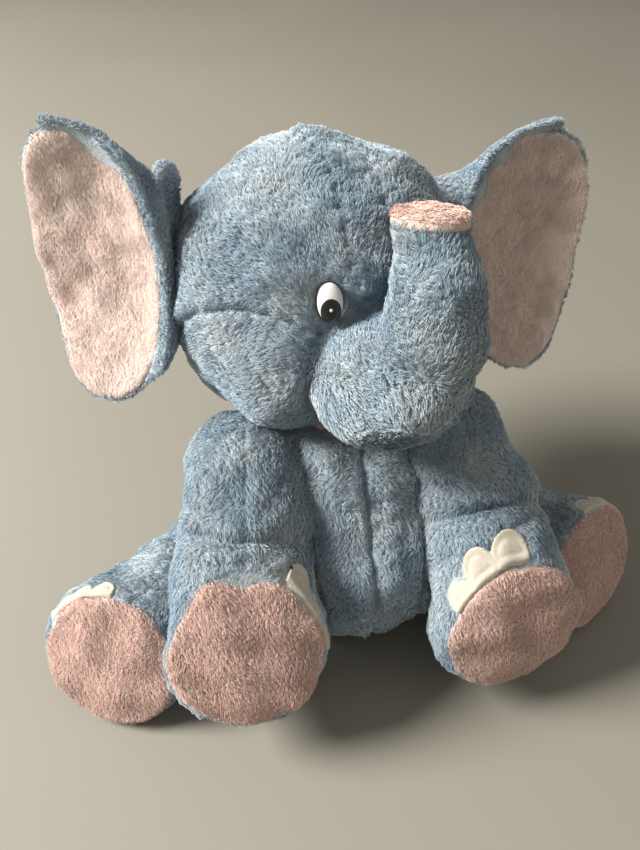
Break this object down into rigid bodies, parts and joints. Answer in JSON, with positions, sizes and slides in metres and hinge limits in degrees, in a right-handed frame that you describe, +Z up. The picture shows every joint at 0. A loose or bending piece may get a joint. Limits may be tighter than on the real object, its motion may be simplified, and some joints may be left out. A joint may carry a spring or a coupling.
{
  "type": "stuffed elephant",
  "caption": "Sitting plush elephant with a big round head, cupped ears, an upturned trunk, stout limbs with sewn soles and felt toes, and domed plastic eyes.",
  "frame": {"origin": "middle of the seat, on the plane the toy rests on", "axes": "+Z up, -Y the way the body faces, +X the elephant's own left"},
  "size_m": [0.3059, 0.2196, 0.2428],
  "materials": {
    "blue_plush": "short brushed pile, grey blue",
    "pink_velour": "short smooth pile, pale pink",
    "pink_plush": "short pile, dusty pink",
    "cream_felt": "flat felt, cream",
    "stuffing": "white polyester fibre",
    "pellet_bag": "woven bag of plastic pellets",
    "white_plastic": "polished moulding",
    "black_plastic": "polished moulding",
    "clear_plastic": "moulded lock washer"
  },
  "bodies": {
    "torso": {"torso_belly_right": "blue_plush", "torso_belly_left": "blue_plush", "torso_back_right": "blue_plush", "torso_back_left": "blue_plush", "torso_seat_panel": "blue_plush", "torso_filling": "stuffing", "seat_pellet_bag": "pellet_bag"},
    "neck": {"neck_filling": "stuffing"},
    "head": {"head_side_right": "blue_plush", "head_side_left": "blue_plush", "head_crown_gusset": "blue_plush", "cheek_right": "blue_plush", "cheek_left": "blue_plush", "head_filling": "stuffing", "mouth_lining": "pink_plush", "lower_lip": "blue_plush", "eye_base_right": "black_plastic", "eye_white_right": "white_plastic", "pupil_right": "black_plastic", "eye_washer_right": "clear_plastic", "eye_base_left": "black_plastic", "eye_white_left": "white_plastic", "pupil_left": "black_plastic", "eye_washer_left": "clear_plastic"},
    "trunk": {"trunk_right_panel": "blue_plush", "trunk_left_panel": "blue_plush", "trunk_filling": "stuffing"},
    "trunk_tip": {"trunk_tip_right_panel": "blue_plush", "trunk_tip_left_panel": "blue_plush", "trunk_tip_filling": "stuffing", "trunk_tip_pad": "pink_plush"},
    "ear_right": {"ear_right_outer": "blue_plush", "ear_right_wadding": "stuffing", "ear_right_lining": "pink_velour"},
    "ear_left": {"ear_left_outer": "blue_plush", "ear_left_wadding": "stuffing", "ear_left_lining": "pink_velour"},
    "arm_right": {"arm_right_outer_panel": "blue_plush", "arm_right_inner_panel": "blue_plush", "arm_right_filling": "stuffing", "arm_right_sole": "pink_plush", "arm_right_toes": "cream_felt"},
    "arm_left": {"arm_left_outer_panel": "blue_plush", "arm_left_inner_panel": "blue_plush", "arm_left_filling": "stuffing", "arm_left_sole": "pink_plush", "arm_left_toes": "cream_felt"},
    "leg_right": {"leg_right_outer_panel": "blue_plush", "leg_right_inner_panel": "blue_plush", "leg_right_filling": "stuffing", "leg_right_sole": "pink_plush", "leg_right_toes": "cream_felt"},
    "leg_left": {"leg_left_outer_panel": "blue_plush", "leg_left_inner_panel": "blue_plush", "leg_left_filling": "stuffing", "leg_left_sole": "pink_plush", "leg_left_toes": "cream_felt"},
    "tail": {"tail_cover": "blue_plush", "tail_filling": "stuffing"}
  },
  "joints": [
    {"name": "head_turn", "type": "hinge", "parent": "torso", "child": "neck", "pos_m": [-0.009, 0.06, 0.16], "axis": [0, 0.3746, 0.9272], "range_deg": [-20, 12], "stiffness_Nm_per_rad": 0.3},
    {"name": "head_nod", "type": "hinge", "parent": "neck", "child": "head", "pos_m": [-0.009, 0.06, 0.16], "axis": [-0.9751, -0.1825, 0.1261], "range_deg": [-4, 10], "stiffness_Nm_per_rad": 0.6},
    {"name": "trunk_lift", "type": "hinge", "parent": "head", "child": "trunk", "pos_m": [0.00135, 0.01288, 0.15596], "axis": [-0.9751, -0.1825, 0.1261], "range_deg": [-8, 4], "stiffness_Nm_per_rad": 0.25},
    {"name": "trunk_curl", "type": "hinge", "parent": "trunk", "child": "trunk_tip", "pos_m": [0.0163, -0.0219, 0.16575], "axis": [-0.9751, -0.1825, 0.1261], "range_deg": [-20, 3], "stiffness_Nm_per_rad": 0.08},
    {"name": "ear_right_flap", "type": "hinge", "parent": "head", "child": "ear_right", "pos_m": [-0.07602, 0.06554, 0.17318], "axis": [-0.1181, 0.4032, 0.9075], "range_deg": [-12, 8], "stiffness_Nm_per_rad": 0.1},
    {"name": "ear_left_flap", "type": "hinge", "parent": "head", "child": "ear_left", "pos_m": [0.05269, 0.08963, 0.15653], "axis": [-0.228, -0.395, -0.89], "range_deg": [-12, 8], "stiffness_Nm_per_rad": 0.1},
    {"name": "arm_right_raise", "type": "hinge", "parent": "torso", "child": "arm_right", "pos_m": [-0.05, -0.002, 0.098], "axis": [-1, 0, 0], "range_deg": [-1, 22], "stiffness_Nm_per_rad": 0.3},
    {"name": "arm_left_raise", "type": "hinge", "parent": "torso", "child": "arm_left", "pos_m": [0.044, 0, 0.1], "axis": [-1, 0, 0], "range_deg": [-1, 22], "stiffness_Nm_per_rad": 0.3},
    {"name": "leg_right_spread", "type": "hinge", "parent": "torso", "child": "leg_right", "pos_m": [-0.049, 0.024, 0.032], "axis": [0, 0, -1], "range_deg": [-1, 25], "stiffness_Nm_per_rad": 0.2},
    {"name": "leg_left_spread", "type": "hinge", "parent": "torso", "child": "leg_left", "pos_m": [0.043, 0.024, 0.032], "axis": [0, 0, 1], "range_deg": [-1, 25], "stiffness_Nm_per_rad": 0.2},
    {"name": "tail_wag", "type": "hinge", "parent": "torso", "child": "tail", "pos_m": [0, 0.056, 0.032], "axis": [0, 0, 1], "range_deg": [-25, 25], "stiffness_Nm_per_rad": 0.02}
  ]
}
